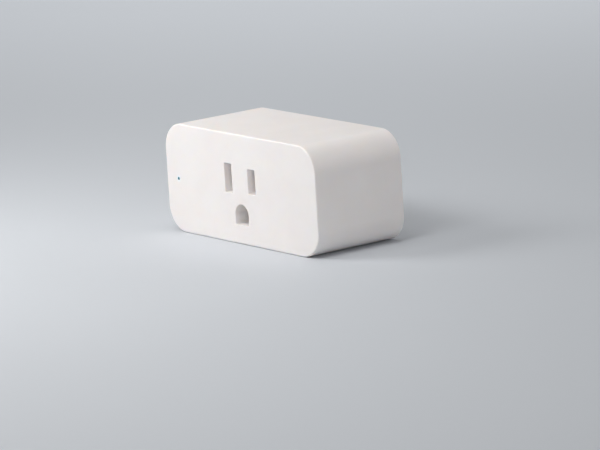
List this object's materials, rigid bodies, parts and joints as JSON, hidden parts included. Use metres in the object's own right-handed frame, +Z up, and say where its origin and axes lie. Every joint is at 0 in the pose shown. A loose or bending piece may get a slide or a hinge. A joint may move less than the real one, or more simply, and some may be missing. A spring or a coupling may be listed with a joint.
{
  "type": "smart plug",
  "caption": "Wide rounded white smart plug: grounded outlet on the face, blades and pin on the back, side button, status light, relay inside.",
  "frame": {"origin": "on the back face, which meets the wall outlet, midway between the two flat blades", "axes": "+Y the way the blades point, into the wall; +Z up; +X to the right as seen from the front"},
  "size_m": [0.0825, 0.0565, 0.0372],
  "materials": {
    "case_white": "fine spark-eroded texture, warm white",
    "cover_white": "fine texture, warm white",
    "button_white": "satin",
    "carrier_white": "satin",
    "light_pipe": "clear acrylic lit blue",
    "led_epoxy": "translucent epoxy",
    "blade_nickel": "nickel plated, drawn",
    "contact_tin": "tin plated",
    "board_green": "green solder mask",
    "board_black": "black solder mask",
    "lead_tin": "tinned wire",
    "solder": "bright solder",
    "header_gold": "gold plated",
    "header_black": "satin",
    "switch_black": "satin",
    "plunger_grey": "satin",
    "shield_steel": "tin plated",
    "relay_blue": "satin blue",
    "relay_base": "satin",
    "relay_iron": "zinc plated iron",
    "relay_spool": "natural nylon",
    "copper_wire": "enamelled copper",
    "contact_copper": "copper alloy with silver contact",
    "screw_zinc": "zinc plated",
    "capacitor_sleeve": "shrink sleeve",
    "film_yellow": "moulded box",
    "varistor_blue": "epoxy coating",
    "fuse_body": "lacquered ceramic",
    "ferrite": "sintered ferrite",
    "transformer_spool": "phenolic",
    "tape_yellow": "polyester tape",
    "chip_black": "epoxy",
    "shunt_metal": "manganin"
  },
  "bodies": {
    "housing": {"front_shell": "case_white", "rear_cover": "cover_white", "neutral_blade": "blade_nickel", "line_blade": "blade_nickel", "ground_pin": "blade_nickel", "neutral_contact": "contact_tin", "line_contact": "contact_tin", "ground_contact": "contact_tin", "contact_carrier": "carrier_white", "light_pipe": "light_pipe", "status_led": "led_epoxy", "switch_housing": "switch_black", "switch_terminals": "lead_tin", "logic_board": "board_green", "header_strip": "header_black", "header_pins": "header_gold", "radio_board": "board_black", "radio_shield": "shield_steel", "relay_cover": "relay_blue", "relay_base": "relay_base", "relay_yoke": "relay_iron", "relay_core": "relay_iron", "relay_bobbin": "relay_spool", "relay_coil": "copper_wire", "relay_fixed_contact": "contact_copper", "power_board": "board_green", "board_screws": "screw_zinc", "bulk_capacitors": "capacitor_sleeve", "film_capacitor": "film_yellow", "varistor": "varistor_blue", "fuse": "fuse_body", "choke_core": "ferrite", "choke_winding": "copper_wire", "transformer_bobbin": "transformer_spool", "transformer_winding": "tape_yellow", "transformer_core": "ferrite", "part_leads": "lead_tin", "solder_joints": "solder", "bridge_rectifier": "chip_black", "supply_chip": "chip_black", "meter_chip": "chip_black", "chip_leads": "lead_tin", "shunt_resistor": "shunt_metal"},
    "button": {"side_button": "button_white"},
    "plunger": {"switch_plunger": "plunger_grey"},
    "armature": {"relay_armature": "relay_iron", "relay_contact_arm": "contact_copper"}
  },
  "joints": [
    {"name": "button_press", "type": "slide", "parent": "housing", "child": "button", "axis": [1, 0, 0], "range_m": [0, 0.0005], "stiffness_N_per_m": 3000},
    {"name": "plunger_press", "type": "slide", "parent": "housing", "child": "plunger", "axis": [1, 0, 0], "range_m": [0, 0.0005]},
    {"name": "relay_close", "type": "hinge", "parent": "housing", "child": "armature", "pos_m": [0.0347, -0.02105, -0.0098], "axis": [0, 0, 1], "range_deg": [-3, 0], "stiffness_Nm_per_rad": 0.01, "springref_deg": 11.46}
  ],
  "couplings": [
    {"joint": "plunger_press", "follows": "button_press", "ratio": 1}
  ]
}
